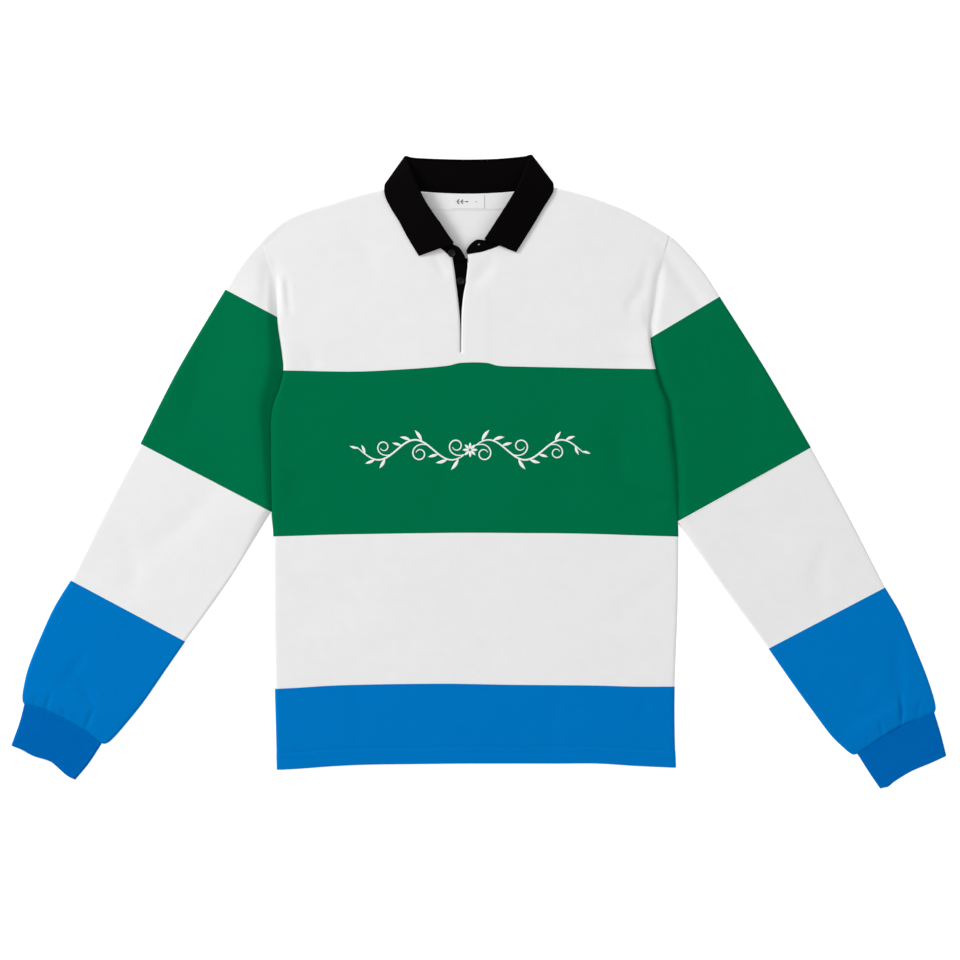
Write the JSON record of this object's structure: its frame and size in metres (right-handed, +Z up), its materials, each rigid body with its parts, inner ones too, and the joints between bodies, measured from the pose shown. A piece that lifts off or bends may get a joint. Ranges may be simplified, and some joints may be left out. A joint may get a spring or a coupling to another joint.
{
  "type": "rugby shirt laid flat",
  "caption": "Long-sleeved rugby shirt laid flat, face up: broad stripes, black rib collar, open button placket and rib cuffs.",
  "frame": {"origin": "on the surface the shirt lies on, under the middle of its outline", "axes": "+X to the wearer's left sleeve, which is the right of the picture; +Y from hem to collar; +Z up, out of the chest"},
  "size_m": [1.1223, 0.7607, 0.0157],
  "materials": {
    "jersey_white": "heavy cotton jersey, matte",
    "jersey_green": "heavy cotton jersey, matte",
    "jersey_blue": "heavy cotton jersey, matte",
    "rib_blue": "rib knit, matte",
    "rib_black": "rib knit, matte",
    "twill_black": "cotton twill, matte",
    "label_white": "woven satin",
    "button_rubber": "moulded rubber, satin"
  },
  "bodies": {
    "root": {"front_yoke": "jersey_white", "front_chest_band": "jersey_green", "front_waist_band": "jersey_white", "front_hem_band": "jersey_blue", "back_yoke": "jersey_white", "back_chest_band": "jersey_green", "back_waist_band": "jersey_white", "back_hem_band": "jersey_blue", "sleeve_left_cap": "jersey_white", "sleeve_left_upper_band": "jersey_green", "sleeve_left_lower_band": "jersey_white", "sleeve_left_wrist_band": "jersey_blue", "sleeve_left_cuff": "rib_blue", "sleeve_right_cap": "jersey_white", "sleeve_right_upper_band": "jersey_green", "sleeve_right_lower_band": "jersey_white", "sleeve_right_wrist_band": "jersey_blue", "sleeve_right_cuff": "rib_blue", "collar_stand": "rib_black", "collar_leaf": "rib_black", "placket_button_band": "twill_black", "neck_label": "label_white", "button_neck": "button_rubber", "button_placket": "button_rubber"}
  },
  "joints": []
}
